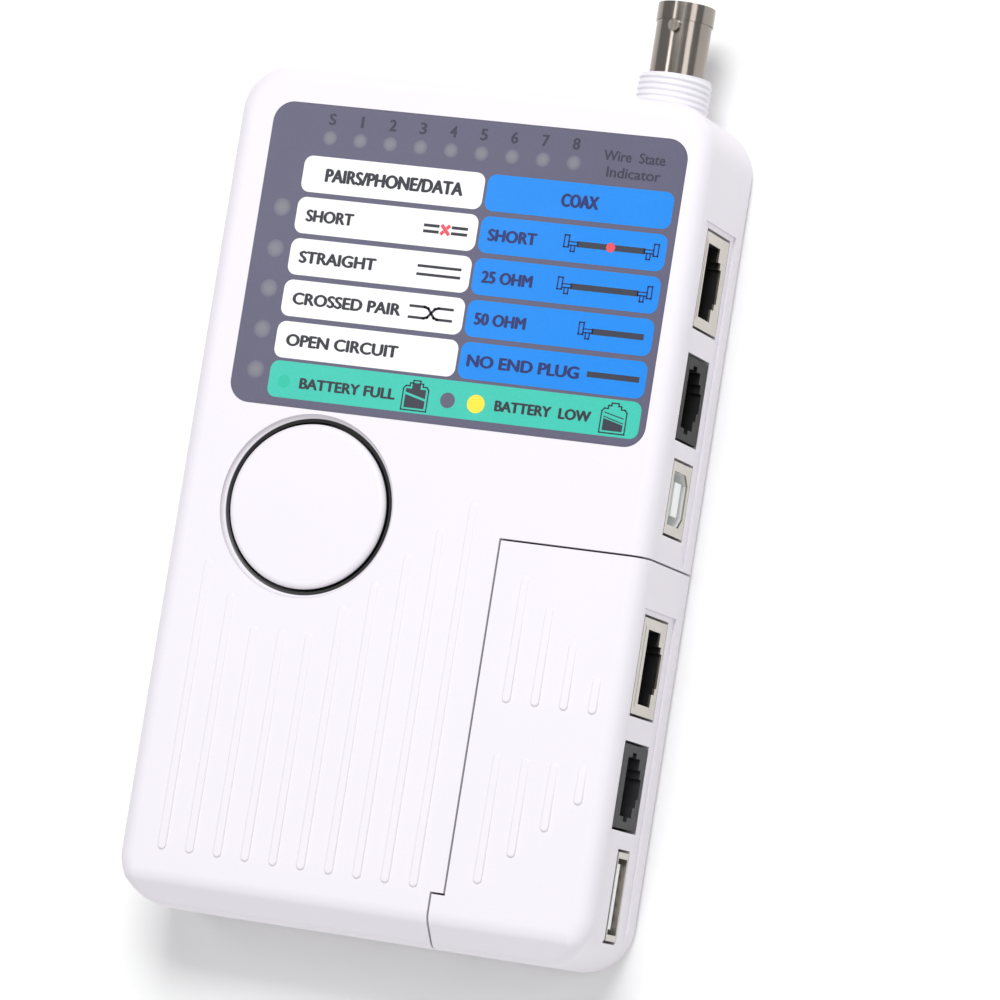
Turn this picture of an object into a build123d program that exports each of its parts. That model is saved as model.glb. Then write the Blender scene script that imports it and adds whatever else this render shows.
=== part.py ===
from build123d import *
from math import atan2, degrees
import os

# Network cable tester lying on its back, with a slide-on remote unit.  Sizes are in millimetres.
# +Z points out of the front panel, +Y runs along the case towards the coaxial jack, +X towards the ports.
# The origin is under the middle of the overall box, on the back face.

# Case
case_width = 84.4
case_length = 143.6
case_depth = 25.0
case_corner = 8.5
front_round = 3.0
back_round = 1.4
end_bevel = 4.6
wall = 2.2
parting_height = 12.5
lip_thickness = 0.9
lip_height = 1.2
lip_clearance = 0.12

# Slide-on remote unit in the lower right corner
remote_width = 25.5
remote_length = 67.9
notch_depth = 2.3
notch_length = 8.9
split_gap = 0.35
tongue_height = 7.5
tongue_root = 2.2
tongue_tip = 3.6
tongue_reach = 1.9
tongue_end_margin = 6.0
rail_clearance = 0.2
rail_block = 4.6
rail_block_rise = 4.0

# Front panel
label_width = 74.0
label_height = 51.4
label_corner = 3.6
label_left_margin = 6.8
label_top_margin = 6.7
label_thickness = 0.3
label_clearance = 0.08
window_bore = 1.7
led_radius = 1.5
led_height = 3.6
pair_led_pitch = 5.47
pair_led_count = 9
pair_led_start = 10.7
pair_led_drop = 5.55
status_led_inset = 4.1
status_led_drops = (18.0, 25.1, 31.9, 38.9, 45.8)
power_led = (38.8, 47.0)

# Test button and its switch
button_radius = 13.9
button_clearance = 0.42
button_lift = 0.3
button_from_left = 23.9
button_from_label = 2.3
button_travel = 0.8
button_flange = 1.2
button_flange_thickness = 1.0
button_skin = 1.6
button_edge = 0.9
button_wall = 1.4
button_rim = 1.2
switch_width = 6.0
switch_height = 1.9
plunger_radius = 1.7
plunger_clearance = 0.1
switch_floor = 0.15
post_radius = 2.5
post_length = 0.4
plunger_spare = 0.2

# Grip ribs on the front, listed from the left: distance of each top end from the case's top end
rib_width = 1.5
rib_rise = 0.4
rib_fade = 0.3
rib_soft = 0.3
rib_from_left = 8.06
rib_from_split = 5.57
rib_end_margin = 9.4
main_rib_tops = (85.0, 90.2, 95.3, 95.1, 95.1, 89.8, 85.3, 80.1, 75.1, 70.1)
remote_rib_from_split = 5.4
remote_rib_from_right = 5.1
upper_rib_foot = 41.4
upper_rib_tops = (62.5, 57.9, 52.7, 47.5)
lower_rib_top = 32.9
lower_rib_feet = (11.5, 16.5, 21.4, 26.5)

# Ports on the right wall: centre distances from the case's top end, or from its lower end on the remote
port_recess = 0.4
port_clearance = 0.25
port_end_clearance = 0.45
port_depth = 16.0
port_feet_width = 1.2
main_rj45_drop = 28.1
main_rj11_drop = 47.9
usb_b_drop = 64.5
remote_rj45_rise = 50.8
remote_rj11_rise = 31.0
usb_a_rise = 13.0
rj45_size = (15.95, 12.0)
rj11_size = (13.8, 11.0)
usb_b_size = (12.05, 9.8)
usb_a_size = (13.3, 5.2)
usb_a_flange = 0.7
usb_a_lift = 1.5
usb_a_headroom = 0.6
usb_a_depth = 14.0
main_port_lift = 1.0
sheet = 0.35
usb_b_chamfer = 2.4
main_recess = (18.8, 74.9, 4.4, 21.0)
remote_recess = (4.4, 60.1, 4.7, 21.6)

# Inside the modular jacks: width and height of the mouth's wide part, latch step and key step
mouth_depth = 12.5
rj45_mouth = ((12.4, 6.2), (8.0, 1.3), (5.8, 0.8))
rj11_mouth = ((9.8, 6.0), (6.2, 1.1), (3.4, 0.9))
rj11_notch = (0.8, 2.0)
main_roof = 1.5
remote_rj45_roof = 2.9
remote_rj11_roof = 2.6
fold_width = 0.2
fold_inset = 1.2
rj45_wires = 8
rj11_wires = 6
wire_pitch = 1.02
wire_width = 0.4
wire_thickness = 0.45
wire_start = 3.0
wire_root = 4.4
wire_drop = 4.4

# Inside the data jacks: width and height of hole and tongue, and the contact strips
data_depth = 9.0
usb_b_hole = (8.9, 7.7)
usb_b_hole_chamfer = 1.7
usb_b_tongue = (5.6, 3.2)
usb_a_tongue = (10.8, 1.8)
usb_a_tongue_drop = 0.6
tongue_inset = 0.4
strip_width = 1.0
strip_thickness = 0.15
strip_inset = 1.2
usb_b_strip_pitch = 2.5
usb_a_strip_pitch = 2.3
usb_a_strips = 4
pin_foot = 0.8
pin_foot_inset = 2.0
usb_b_foot_inset = 3.2
usb_a_foot_inset = 0.6

# Coaxial jack on the top end
bnc_from_right = 12.1
bnc_height = 12.5
bnc_reach = 17.9
collar_radius = 6.25
collar_length = 5.6
collar_thread_pitch = 1.0
collar_thread_depth = 0.35
collar_plain = 0.4
barrel_radius = 4.83
barrel_relief = 0.2
nose_length = 3.0
barrel_seat_clearance = 0.02
barrel_bore = 4.1
lug_radius = 1.0
lug_reach = 0.75
lug_from_face = 4.2
dielectric_radius = 2.35
dielectric_recess = 1.0
contact_radius = 0.95
contact_bore = 0.55
contact_recess = 0.4
contact_length = 8.0
contact_bore_length = 6.0
bnc_block = (14.6, 12.0)
bnc_block_rise = 6.1
barrel_seat = 4.0

# Boards
inner_gap = 0.15
board = 1.6
main_board_height = 4.8
remote_board_height = 6.0
display_board = 1.2
display_board_height = 19.0
display_drop = 59.0
display_margin = 4.0
display_screw_inset = 22.0
display_screw_drop = 13.0
switch_tab = (10.0, 8.0)
switch_plunger_offset = 2.0
board_margin = 1.4
main_board_margin = 2.0
board_screw_inset = 4.0
right_screw_inset = 24.6
remote_board_margin = 3.2
remote_board_lead = 1.0
remote_screw_inset = 12.0
header = (2.5, 20.4)
header_from_left = 12.0
chip_gap = 9.5
control_chips = ((10.2, 10.2, 1.6, 33.0), (8.0, 10.0, 1.4, 15.0))
resistor = (1.6, 1.6, 0.6)
resistor_inset = 0.6
resistor_count = 4
resistor_pitch = 3.0
resistor_rise = 4.0

# Battery and its door
battery = (26.5, 46.4, 17.5)
battery_corner = 2.0
battery_stud = 2.1
stud_pitch = 12.7
stud_radius = 2.6
snap_ring = 1.0
snap_gap = 0.1
snap_clearance = 0.05
battery_from_left = 11.7
battery_end_margin = 4.3
battery_clearance = 0.3
bay_wall = 1.2
bay_rise = 4.0
snap_plate = 1.6
door_margin = 1.0
door_thickness = 1.9
door_slant = 0.9
door_clearance = 0.2
door_grip_depth = 0.5
door_grip_count = 3
door_grip_pitch = 3.0
door_grip_width = 1.2
door_grip_length = 12.0
door_grip_from_end = 14.0

# Screws
boss_radius = 2.8
boss_inset = 5.6
bnc_tower_gap = 1.5
notch_tower_gap = 1.2
end_tower_lift = 0.6
screw_radius = 1.1
screw_head = 2.0
screw_head_height = 1.4
screw_length = 10.0
screw_recess = 3.0
pilot_clearance = 0.02
head_clearance = 0.25
small_screw_radius = 0.9
small_screw_head = 1.6
small_screw_length = 4.0
small_screw_head_height = 0.8
board_hole_clearance = 0.1
standoff_radius = 2.0
pilot_spare = 0.4
cross_share = 0.65
cross_width = 0.5
cross_depth = 0.7
tower_gap = 0.25

# How far a cutting shape runs past the face that it cuts
past = 1.0

# Places worked out from the sizes above
overall_length = case_length + bnc_reach
case_top = overall_length / 2 - bnc_reach
case_end = case_top - case_length
case_left = -case_width / 2
case_right = case_width / 2
case_middle = (case_top + case_end) / 2
front = case_depth
remote_left = case_right - remote_width
remote_top = case_end + remote_length
notch_left = remote_left - notch_depth
notch_top = case_end + notch_length
label_x = case_left + label_left_margin + label_width / 2
label_y = case_top - label_top_margin - label_height / 2
label_corner_x = case_left + label_left_margin
label_corner_y = case_top - label_top_margin
button_x = case_left + button_from_left
button_y = label_corner_y - label_height - button_from_label - button_radius
bnc_x = case_right - bnc_from_right
port_face = case_right - port_recess
main_board_top = main_board_height + board
remote_board_top = remote_board_height + board
display_top = display_board_height + display_board
battery_x = case_left + battery_from_left + battery[0] / 2
battery_y = case_end + battery_end_margin + battery[1] / 2
battery_floor = wall + battery_clearance
BOTTOM = Align.MIN
MID = Align.CENTER


def block(x0, x1, y0, y1, z0, z1):
    """Box between two corners."""
    return Pos(x0, y0, z0) * Box(x1 - x0, y1 - y0, z1 - z0, align=(BOTTOM, BOTTOM, BOTTOM))


def post(x, y, z0, z1, radius):
    """Upright cylinder."""
    return Pos(x, y, z0) * Cylinder(radius, z1 - z0, align=(MID, MID, BOTTOM))


def rod_y(x, z, y0, y1, radius):
    """Cylinder lying along Y."""
    return Pos(x, y0, z) * Rot(-90, 0, 0) * Cylinder(radius, y1 - y0, align=(MID, MID, BOTTOM))


def save(name, shape):
    """Write one piece, or one group of like pieces, to its STEP file."""
    shape.label = name
    export_step(shape, f"parts/{name}.step")


def case_plan(inset):
    """Outline of the whole case seen from the front, drawn in from its walls."""
    size = (case_width - 2 * inset, case_length - 2 * inset)
    return Pos(0, case_middle) * RectangleRounded(*size, case_corner - inset)


def remote_zone(grow):
    """Area that the remote unit takes, with its notch, grown or shrunk on its split sides."""
    far = case_width
    points = [
        (remote_left - grow, remote_top + grow),
        (far, remote_top + grow),
        (far, case_end - far),
        (notch_left - grow, case_end - far),
        (notch_left - grow, notch_top + grow),
        (remote_left - grow, notch_top + grow),
    ]
    return make_face(Polyline(*points, close=True))


def main_plan(inset):
    return case_plan(inset) - remote_zone(inset + split_gap / 2)


def remote_plan(inset):
    return case_plan(inset) & remote_zone(-inset - split_gap / 2)


def end_wedge(bevel):
    """Prism that cuts the edge between the front and the lower end at 45 degrees."""
    profile = [
        (case_end - 1, front - bevel - 1),
        (case_end - 1, front + 1),
        (case_end + bevel + 1, front + 1),
    ]
    face = Plane.YZ * make_face(Polyline(*profile, close=True))
    return Pos(case_left - 1, 0, 0) * extrude(face, case_width + 2)


def whole_case():
    """Outer form of tester and remote together: rounded in plan, and on its front and back edges."""
    solid = extrude(case_plan(0), case_depth) - end_wedge(end_bevel)
    front_edges = solid.edges().filter_by(lambda e: e.bounding_box().min.Z > front - end_bevel - 0.01)
    front_edges = front_edges.filter_by(lambda e: e.bounding_box().size.Z < end_bevel + 0.01)
    solid = fillet(front_edges, front_round)
    return fillet(solid.edges().group_by(Axis.Z)[0], back_round)


def cavity(plan):
    """Inside of a shell pair, kept one wall from the outer form."""
    hollow = Pos(0, 0, wall) * extrude(plan, case_depth - 2 * wall)
    wedge = Pos(0, wall, -wall) * end_wedge(end_bevel - (2 - 2 ** 0.5) * wall)
    return hollow - wedge


def lip(outline, grow):
    """Rim that keys two half shells together, standing on the parting face."""
    outer = outline(wall - lip_thickness - grow)
    inner = outline(wall + grow)
    return Pos(0, 0, parting_height) * extrude(outer - inner, lip_height + grow)


def half_space(z0, z1):
    return block(-case_width, case_width, -case_length, case_length, z0, z1)


def rib(x, foot, top):
    """Grip rib: a low bar with round ends and a soft top edge, sinking into the panel towards its top."""
    length = top - foot
    bar = extrude(SlotOverall(length, rib_width, rotation=90), 2 * rib_rise)
    bar = fillet(bar.edges().group_by(Axis.Z)[-1], rib_soft)
    tilt = Rot(-degrees(atan2(rib_fade, length)), 0, 0)
    return Pos(x, foot, front - rib_rise) * tilt * Pos(0, length / 2, 0) * bar


def spread(first, last, count):
    """Evenly spaced places from first to last."""
    return [first + (last - first) * i / (count - 1) for i in range(count)]


def main_ribs():
    places = spread(case_left + rib_from_left, remote_left - rib_from_split, len(main_rib_tops))
    return [rib(x, case_end + rib_end_margin, case_top - drop) for x, drop in zip(places, main_rib_tops)]


def remote_ribs():
    first = remote_left + remote_rib_from_split
    places = spread(first, case_right - remote_rib_from_right, len(upper_rib_tops))
    upper = [rib(x, case_end + upper_rib_foot, case_end + top) for x, top in zip(places, upper_rib_tops)]
    lower = [rib(x, case_end + foot, case_end + lower_rib_top) for x, foot in zip(places, lower_rib_feet)]
    return upper + lower


def button_opening():
    """Round hole for the test button, flared by a quarter round at the panel."""
    hole = button_radius + button_clearance
    low = front - button_rim
    flared = hole + button_rim
    profile = Polyline((hole, low), (0, low), (0, front + past), (flared, front + past), (flared, front))
    profile += RadiusArc((flared, front), (hole, low), button_rim)
    flare = revolve(Plane.XZ * make_face(profile), Axis.Z)
    return post(button_x, button_y, front - wall - past, front, hole) + Pos(button_x, button_y, 0) * flare


def windows():
    """Centres of the lamps behind the panel: the row, the column and the single power lamp."""
    row = [(pair_led_start + i * pair_led_pitch, pair_led_drop) for i in range(pair_led_count)]
    column = [(status_led_inset, drop) for drop in status_led_drops]
    return [(label_corner_x + x, label_corner_y - y) for x, y in row + column + [power_led]]


def across(x0, x1, y, wide, z0, z1):
    """Box whose width is centred on a port's place along the right side."""
    return block(x0, x1, y - wide / 2, y + wide / 2, z0, z1)


def side_recess(y0, y1, z0, z1):
    """Shallow sunk field in the right wall, down to the faces of the jacks."""
    return block(port_face, case_right + past, y0, y1, z0, z1)


def port_cut(y, z0, size, headroom=port_clearance):
    """Opening in the right wall for a jack's face, with more room at the jack's two ends."""
    wide = size[0] + 2 * port_end_clearance
    z1 = z0 + size[1] + headroom
    return across(case_right - 2 * wall, case_right + past, y, wide, z0 - port_clearance, z1)


def mouth(y, z_top, steps):
    """Plug opening of a modular jack: a wide part and two narrower steps for the plug's latch."""
    opening = []
    for width, height in steps:
        opening.append(across(port_face - mouth_depth, port_face + past, y, width, z_top - height, z_top))
        z_top -= height
    return opening


def wires(y, z_top, count):
    """Sprung contact wires: each slopes back from the roof of the mouth to its rear wall."""
    group = []
    front_x = port_face - wire_start
    rear_x = port_face - mouth_depth
    for i in range(count):
        at = y + (i - (count - 1) / 2) * wire_pitch
        path = [
            (front_x, z_top),
            (front_x, z_top - wire_thickness),
            (rear_x, z_top - wire_drop),
            (rear_x, z_top - wire_drop + wire_thickness),
            (port_face - wire_root, z_top),
        ]
        face = Plane.XZ * make_face(Polyline(*path, close=True))
        group.append(Pos(0, at + wire_width / 2, 0) * extrude(face, wire_width))
    return Compound(children=group)


def shielded_jack(y, board_z, roof):
    """Eight-way modular jack: folded metal shield, moulded insert and contact wires."""
    wide, tall = rj45_size
    z1 = board_z + tall
    x0 = port_face - port_depth
    outer = across(x0, port_face, y, wide, board_z, z1)
    inner = across(x0 + sheet, port_face - sheet, y, wide - 2 * sheet, board_z, z1 - sheet)
    opening = mouth(y, z1 - roof, rj45_mouth)
    fold_z = z1 - roof / 2
    fold = across(port_face - fold_width, port_face, y, wide - 2 * fold_inset, fold_z, fold_z + fold_width)
    shield = outer - inner - opening - fold
    insert = inner - opening
    return shield, insert, wires(y, z1 - roof, rj45_wires)


def plain_jack(y, board_z, lift, tall, roof):
    """Six-way modular jack: one moulded housing on two feet, and contact wires."""
    wide = rj11_size[0]
    z0 = board_z + lift
    z1 = z0 + tall
    x0 = port_face - port_depth
    body = across(x0, port_face, y, wide, z0, z1)
    body -= mouth(y, z1 - roof, rj11_mouth)
    mouth_width, mouth_height = rj11_mouth[0]
    notch_wide = mouth_width + 2 * rj11_notch[0]
    notch_z = z1 - roof - (mouth_height - rj11_notch[1]) / 2
    body -= across(port_face - mouth_depth, port_face + past, y, notch_wide, notch_z - rj11_notch[1], notch_z)
    for side in (-1, 1):
        low, high = sorted((y + side * (wide / 2 - port_feet_width), y + side * wide / 2))
        if lift > 0:
            body += block(x0, port_face - 2 * wall, low, high, board_z, z0)
    return body, wires(y, z1 - roof, rj11_wires)


def usb_b_profile(y, z, wide, tall, chamfer):
    """Square plug outline with its two corners nearest the back cut off."""
    points = [
        (y - wide / 2, z + tall / 2),
        (y + wide / 2, z + tall / 2),
        (y + wide / 2, z - tall / 2 + chamfer),
        (y + wide / 2 - chamfer, z - tall / 2),
        (y - wide / 2 + chamfer, z - tall / 2),
        (y - wide / 2, z - tall / 2 + chamfer),
    ]
    return Plane.YZ * make_face(Polyline(*points, close=True))


def pin_feet(y, reach, z0, z1):
    """Two feet of a metal shell that stand on the board, one each side of its middle."""
    rear = port_face - port_depth + pin_foot_inset
    return [across(rear, port_face - 2 * wall, y + side * reach, pin_foot, z0, z1) for side in (-1, 1)]


def strip(y, z0, z1):
    """Flat contact strip on a tongue."""
    return across(port_face - data_depth, port_face - strip_inset, y, strip_width, z0, z1)


def usb_b_jack(y, board_z):
    """Square data jack: metal shell, pale insert with its centre tongue, and four contact strips."""
    wide, tall = usb_b_size
    z0 = board_z + main_port_lift
    z = z0 + tall / 2
    x0 = port_face - port_depth
    outer = Pos(x0, 0, 0) * extrude(usb_b_profile(y, z, wide, tall, usb_b_chamfer), port_depth)
    outer += across(port_face - sheet, port_face, y, wide, z0, z0 + tall)
    inner_chamfer = usb_b_chamfer - (2 - 2 ** 0.5) * sheet
    inner = Pos(x0, 0, 0) * extrude(
        usb_b_profile(y, z, wide - 2 * sheet, tall - 2 * sheet, inner_chamfer), port_depth - sheet)
    hole = usb_b_profile(y, z, *usb_b_hole, usb_b_hole_chamfer)
    shell = outer - inner - Pos(x0, 0, 0) * extrude(hole, port_depth + past)
    shell += pin_feet(y, wide / 2 - usb_b_foot_inset, board_z, z0 + sheet / 2)
    hollow = Pos(port_face - data_depth, 0, 0) * extrude(hole, data_depth + past)
    half_tall = usb_b_tongue[1] / 2
    tongue_end = port_face - tongue_inset
    tongue = across(port_face - data_depth, tongue_end, y, usb_b_tongue[0], z - half_tall, z + half_tall)
    insert = inner - hollow + tongue
    strips = []
    for dy in (-usb_b_strip_pitch / 2, usb_b_strip_pitch / 2):
        strips.append(strip(y + dy, z + half_tall, z + half_tall + strip_thickness))
        strips.append(strip(y + dy, z - half_tall - strip_thickness, z - half_tall))
    return shell, insert, Compound(children=strips)


def usb_a_jack(y, board_z):
    """Flat data jack: metal shell with a flared rim, insert with its tongue, and four contact strips."""
    wide, tall = usb_a_size
    z0 = board_z + usb_a_lift
    z1 = z0 + tall
    x0 = port_face - usb_a_depth
    inner_wide = wide - 2 * sheet
    shell = across(x0, port_face, y, wide, z0, z1)
    shell += across(port_face - sheet, port_face, y, wide + 2 * usb_a_flange, z0, z1)
    shell -= across(x0 + sheet, port_face + past, y, inner_wide, z0 + sheet, z1 - sheet)
    shell += pin_feet(y, wide / 2 - usb_a_foot_inset, board_z, z0 + sheet / 2)
    back = across(x0 + sheet, port_face - data_depth, y, inner_wide, z0 + sheet, z1 - sheet)
    tongue_top = z1 - sheet - usb_a_tongue_drop
    tongue_low = tongue_top - usb_a_tongue[1]
    tongue_end = port_face - tongue_inset
    tongue = across(port_face - data_depth, tongue_end, y, usb_a_tongue[0], tongue_low, tongue_top)
    reach = usb_a_strip_pitch * (usb_a_strips - 1) / 2
    places = spread(y - reach, y + reach, usb_a_strips)
    strips = [strip(at, tongue_low - strip_thickness, tongue_low) for at in places]
    return shell, back + tongue, Compound(children=strips)


def coaxial_jack():
    """Bayonet jack: moulded collar, plated barrel with two lugs, dielectric, centre contact and block."""
    base = case_top
    face = case_top + bnc_reach
    inside = base - wall
    shank_radius = barrel_radius - barrel_relief
    seat_radius = shank_radius + barrel_seat_clearance
    collar = rod_y(bnc_x, bnc_height, inside, base + collar_length, collar_radius - collar_thread_depth)
    turns = int((collar_length - collar_plain) / collar_thread_pitch)
    for i in range(turns):
        y = base + collar_plain + i * collar_thread_pitch
        collar += rod_y(bnc_x, bnc_height, y, y + collar_thread_pitch / 2, collar_radius)
    collar -= rod_y(bnc_x, bnc_height, inside - past, base + collar_length + past, seat_radius)
    wide, deep = bnc_block
    block_top = bnc_height + bnc_block_rise
    body = block(bnc_x - wide / 2, bnc_x + wide / 2, inside - deep, inside, main_board_top, block_top)
    body &= extrude(main_plan(wall + inner_gap), case_depth)
    body -= rod_y(bnc_x, bnc_height, inside - barrel_seat, base, seat_radius)
    barrel = rod_y(bnc_x, bnc_height, inside - barrel_seat, face, shank_radius)
    barrel += rod_y(bnc_x, bnc_height, face - nose_length, face, barrel_radius)
    barrel -= rod_y(bnc_x, bnc_height, base + past, face + past, barrel_bore)
    lug_y = face - lug_from_face
    lug_half = barrel_radius + lug_reach
    lugs = post(bnc_x, lug_y, bnc_height - lug_half, bnc_height + lug_half, lug_radius)
    lug_root = (shank_radius + barrel_bore) / 2
    barrel += lugs - rod_y(bnc_x, bnc_height, lug_y - 2 * lug_radius, lug_y + 2 * lug_radius, lug_root)
    dielectric = rod_y(bnc_x, bnc_height, base + past, face - dielectric_recess, dielectric_radius)
    contact_face = face - dielectric_recess - contact_recess
    dielectric -= rod_y(bnc_x, bnc_height, contact_face - contact_length, face, contact_radius)
    contact = rod_y(bnc_x, bnc_height, contact_face - contact_length, contact_face, contact_radius)
    contact -= rod_y(bnc_x, bnc_height, contact_face - contact_bore_length, face, contact_bore)
    return collar, body, barrel, dielectric, contact


def screw(x, y, seat, length, radius, head, head_height):
    """Pan-head screw pointing up from its seat, with a cross recess in its head."""
    body = post(x, y, seat - head_height, seat, head) + post(x, y, seat, seat + length, radius)
    reach = head * cross_share
    half = cross_width / 2
    z0 = seat - head_height - past
    z1 = seat - head_height + cross_depth
    return body - block(x - reach, x + reach, y - half, y + half, z0, z1) - block(
        x - half, x + half, y - reach, y + reach, z0, z1)


def bosses(points):
    """Screw towers of the two half shells, and the holes through them."""
    lower = [post(x, y, wall / 2, parting_height, boss_radius) for x, y in points]
    upper = [post(x, y, parting_height, front - wall / 2, boss_radius) for x, y in points]
    seat = screw_recess + screw_head_height
    top = seat + screw_length + pilot_spare
    wells = [post(x, y, -past, seat, screw_head + head_clearance) for x, y in points]
    holes = [post(x, y, 0, parting_height, screw_radius + head_clearance) for x, y in points]
    pilots = [post(x, y, parting_height - past, top, screw_radius + pilot_clearance) for x, y in points]
    screws = [screw(x, y, seat, screw_length, screw_radius, screw_head, screw_head_height) for x, y in points]
    return lower, upper, wells + holes, pilots, Compound(children=screws)


def standoffs(points, z0, z1):
    return [post(x, y, z0, z1, standoff_radius) for x, y in points]


def pilot_holes(points, z0, z1):
    """Holes that the board screws cut their thread in."""
    return [post(x, y, z0, z1, small_screw_radius + pilot_clearance) for x, y in points]


def drilled(panel, points):
    """Board with its screw holes."""
    return panel - [post(x, y, 0, front, small_screw_radius + board_hole_clearance) for x, y in points]


def small_screws(points, seat, up):
    """Board screws: their heads rest on the board and their shanks run into the standoffs."""
    group = []
    for x, y in points:
        body = screw(x, y, 0, small_screw_length, small_screw_radius, small_screw_head, small_screw_head_height)
        group.append(Pos(0, 0, seat) * body if up else Pos(0, 2 * y, seat) * Rot(180, 0, 0) * body)
    return Compound(children=group)


def dovetail(clearance, y0, y1):
    """Sliding tongue of the remote unit: wider at its tip than at its root."""
    root = tongue_root / 2 + clearance
    tip = tongue_tip / 2 + clearance
    reach = remote_left - split_gap / 2 - tongue_reach - clearance
    edge = remote_left + wall / 2
    points = [
        (edge, tongue_height - root),
        (reach, tongue_height - tip),
        (reach, tongue_height + tip),
        (edge, tongue_height + root),
    ]
    face = Plane.XZ * make_face(Polyline(*points, close=True))
    return Pos(0, y1, 0) * extrude(face, y1 - y0)


def door_prism(clearance):
    """Battery door: a plate with slanted sides that slides in the back wall from the lower end."""
    half = battery[0] / 2 + battery_clearance + door_margin
    y1 = battery_y + battery[1] / 2 + door_margin
    points = [
        (battery_x - half - clearance, -clearance),
        (battery_x - half - door_slant - clearance, door_thickness + clearance),
        (battery_x + half + door_slant + clearance, door_thickness + clearance),
        (battery_x + half + clearance, -clearance),
    ]
    face = Plane.XZ * make_face(Polyline(*points, close=True))
    return Pos(0, y1 + clearance, 0) * extrude(face, case_length)


def battery_pieces():
    """Block battery with its two snap studs, and the fixed snap plate that they press into."""
    wide, long, thick = battery
    top_y = battery_y + long / 2
    z0 = battery_floor
    cell = block(battery_x - wide / 2, battery_x + wide / 2, battery_y - long / 2, top_y, z0, z0 + thick)
    cell = fillet(cell.edges().filter_by(Axis.Y), battery_corner)
    middle = z0 + thick / 2
    studs = []
    sockets = []
    plate_y = top_y + battery_stud
    for x in (battery_x - stud_pitch / 2, battery_x + stud_pitch / 2):
        studs.append(rod_y(x, middle, top_y, plate_y, stud_radius))
        ring = rod_y(x, middle, top_y + snap_gap, plate_y, stud_radius + snap_ring)
        sockets.append(ring - rod_y(x, middle, top_y, plate_y + past, stud_radius + snap_clearance))
    half = wide / 2
    plate = block(
        battery_x - half, battery_x + half, plate_y, plate_y + snap_plate,
        z0 + snap_plate, z0 + thick - snap_plate)
    return cell, Compound(children=studs), plate, Compound(children=sockets)


def bay_walls():
    """Walls on the back shell that hold the battery and its snap plate."""
    wide, long, thick = battery
    gap = battery_clearance
    x0 = battery_x - wide / 2 - gap
    x1 = battery_x + wide / 2 + gap
    y1 = battery_y + long / 2 + battery_stud + snap_plate
    z1 = parting_height + bay_rise
    outer = block(x0 - bay_wall, x1 + bay_wall, case_end + wall + lip_clearance, y1 + bay_wall, wall / 2, z1)
    return outer - block(x0, x1, case_end - 1, y1, 0, z1 + 1)


os.makedirs("parts", exist_ok=True)

# Outer forms of the two units
case = whole_case()
zone = Pos(0, 0, -1) * extrude(remote_zone(split_gap / 2), case_depth + 2)
inner_zone = Pos(0, 0, -1) * extrude(remote_zone(-split_gap / 2), case_depth + 2)
main_case = case - zone
remote_case = case & inner_zone

# Port places
rj45_y = case_top - main_rj45_drop
rj11_y = case_top - main_rj11_drop
usb_b_y = case_top - usb_b_drop
remote_rj45_y = case_end + remote_rj45_rise
remote_rj11_y = case_end + remote_rj11_rise
usb_a_y = case_end + usb_a_rise
remote_rj11_tall = rj45_size[1]
main_port_cuts = [
    port_cut(rj45_y, main_board_top, rj45_size),
    port_cut(rj11_y, main_board_top + main_port_lift, rj11_size),
    port_cut(usb_b_y, main_board_top + main_port_lift, usb_b_size),
    rod_y(bnc_x, bnc_height, case_top - 2 * wall, case_top + past, collar_radius - collar_thread_depth),
    side_recess(case_top - main_recess[1], case_top - main_recess[0], *main_recess[2:]),
]
usb_a_face = (usb_a_size[0] + 2 * usb_a_flange, usb_a_size[1])
remote_port_cuts = [
    port_cut(remote_rj45_y, remote_board_top, rj45_size),
    port_cut(remote_rj11_y, remote_board_top, (rj11_size[0], remote_rj11_tall)),
    port_cut(usb_a_y, remote_board_top + usb_a_lift, usb_a_face, usb_a_headroom),
    side_recess(case_end + remote_recess[0], case_end + remote_recess[1], *remote_recess[2:]),
]

# Screw towers
main_points = [
    (case_left + boss_inset, case_top - boss_inset),
    (bnc_x - bnc_block[0] / 2 - boss_radius - bnc_tower_gap, case_top - boss_inset),
    (case_left + boss_inset, case_end + boss_inset),
    (notch_left - boss_radius - notch_tower_gap, case_end + boss_inset + end_tower_lift),
]
remote_points = [
    (remote_left + remote_width / 2, remote_top - wall - boss_radius),
    (remote_left + wall + boss_radius, case_end + boss_inset),
]
main_lower, main_upper, main_wells, main_pilots, main_screws = bosses(main_points)
remote_lower, remote_upper, remote_wells, remote_pilots, remote_screws = bosses(remote_points)

# Boards
board_left = case_left + wall + boss_inset + board_margin
board_right = case_right - wall - board_margin
main_board_low = remote_top + wall + main_board_margin
board_high = case_top - wall - boss_inset - board_margin
low_screw_y = main_board_low + board_screw_inset
main_board_points = [
    (board_left + board_screw_inset, low_screw_y),
    (board_left + board_screw_inset, board_high - board_screw_inset),
    (board_right - right_screw_inset, low_screw_y),
]
main_board = block(board_left, board_right, main_board_low, board_high, main_board_height, main_board_top)
main_board &= extrude(main_plan(wall + inner_gap), case_depth)
display_low = case_top - display_drop
display_panel = block(
    board_left, board_right - display_margin, display_low, board_high, display_board_height, display_top)
display_panel += block(
    button_x - switch_tab[0], button_x + switch_tab[0], button_y - switch_tab[1], display_low + past,
    display_board_height, display_top)
upper_screw_y = board_high - display_screw_drop
display_points = [
    (board_right - display_screw_inset, display_low + board_screw_inset),
    (board_right - display_screw_inset, upper_screw_y),
    (button_x - switch_plunger_offset, upper_screw_y),
]
remote_board_left = port_face - port_depth - remote_board_lead
remote_board_high = remote_points[0][1] - boss_radius - tower_gap
remote_board_low = case_end + wall + remote_board_margin
remote_board = block(
    remote_board_left, board_right, remote_board_low, remote_board_high,
    remote_board_height, remote_board_top)
remote_board &= extrude(remote_plan(wall + inner_gap), case_depth)
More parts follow.
